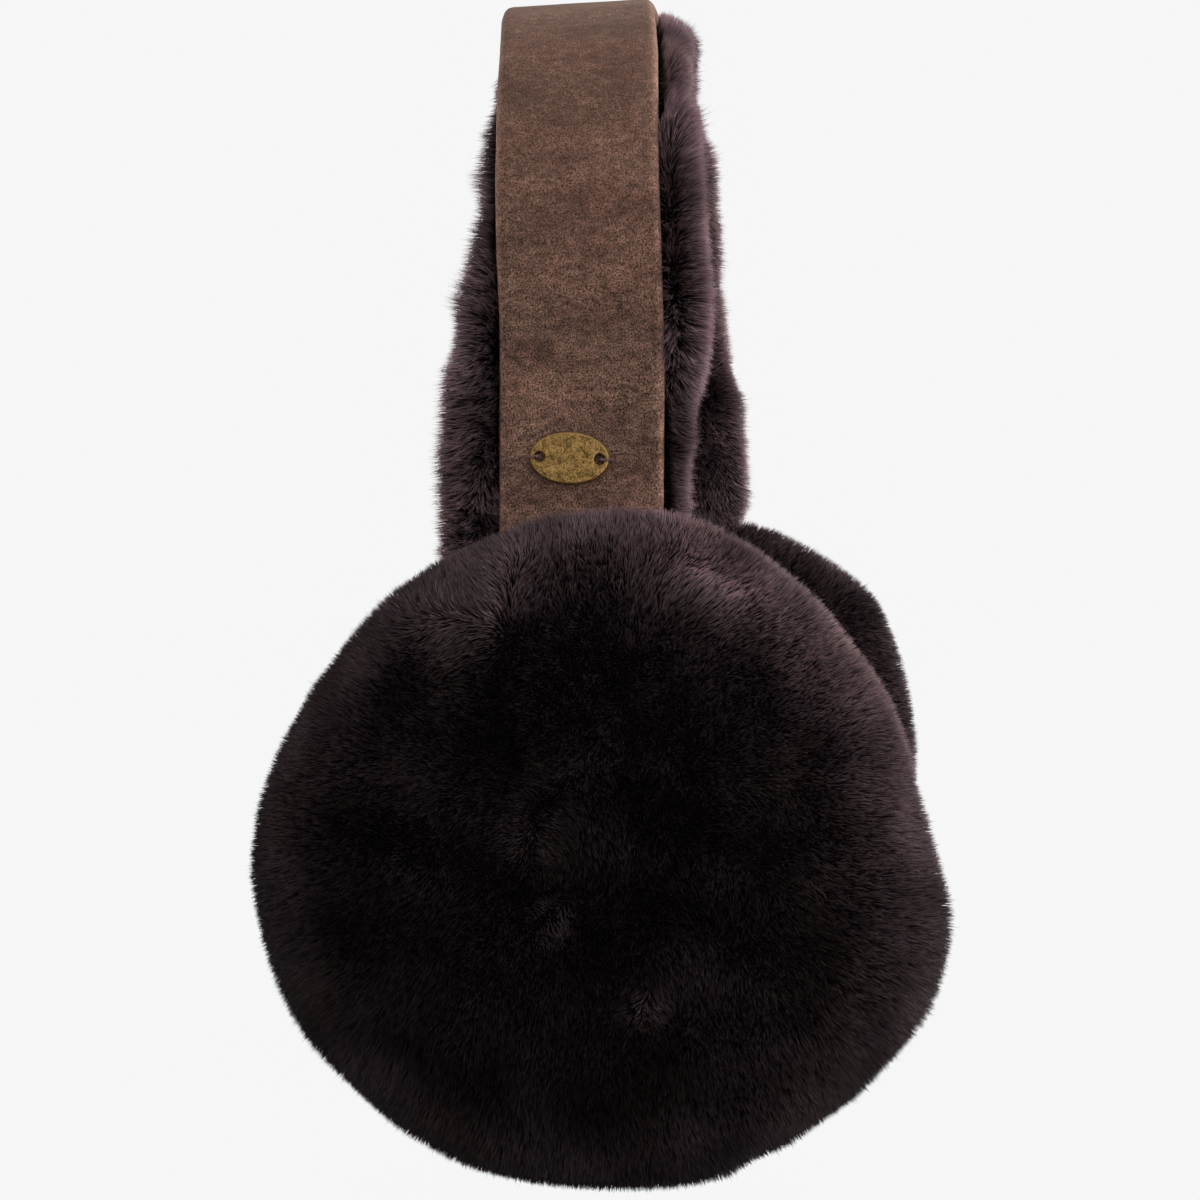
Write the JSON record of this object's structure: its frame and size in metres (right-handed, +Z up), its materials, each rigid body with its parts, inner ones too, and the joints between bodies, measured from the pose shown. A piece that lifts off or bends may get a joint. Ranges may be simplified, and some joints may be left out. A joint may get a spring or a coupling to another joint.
{
  "type": "fur earmuffs",
  "caption": "Round fur ear pads joined by a bent suede headband with a fur lining and a small oval metal badge on one arm.",
  "frame": {"origin": "on the surface that the pads stand on, under the middle of the object's box", "axes": "+X towards the wearer's left ear, where the badge is; +Y towards the back of the head; +Z up"},
  "size_m": [0.174, 0.122, 0.2188],
  "materials": {
    "suede": "napped suede, warm brown",
    "lining_fur": "sheared sheepskin pile, blackish brown",
    "pad_fur": "sheared sheepskin pile, blackish brown",
    "badge_metal": "antique brass with a dark patina"
  },
  "bodies": {
    "root": {"headband_strip": "suede", "headband_lining": "lining_fur", "left_pad_outer_cover": "pad_fur", "left_pad_inner_cover": "pad_fur", "right_pad_outer_cover": "pad_fur", "right_pad_inner_cover": "pad_fur", "badge": "badge_metal"}
  },
  "joints": []
}
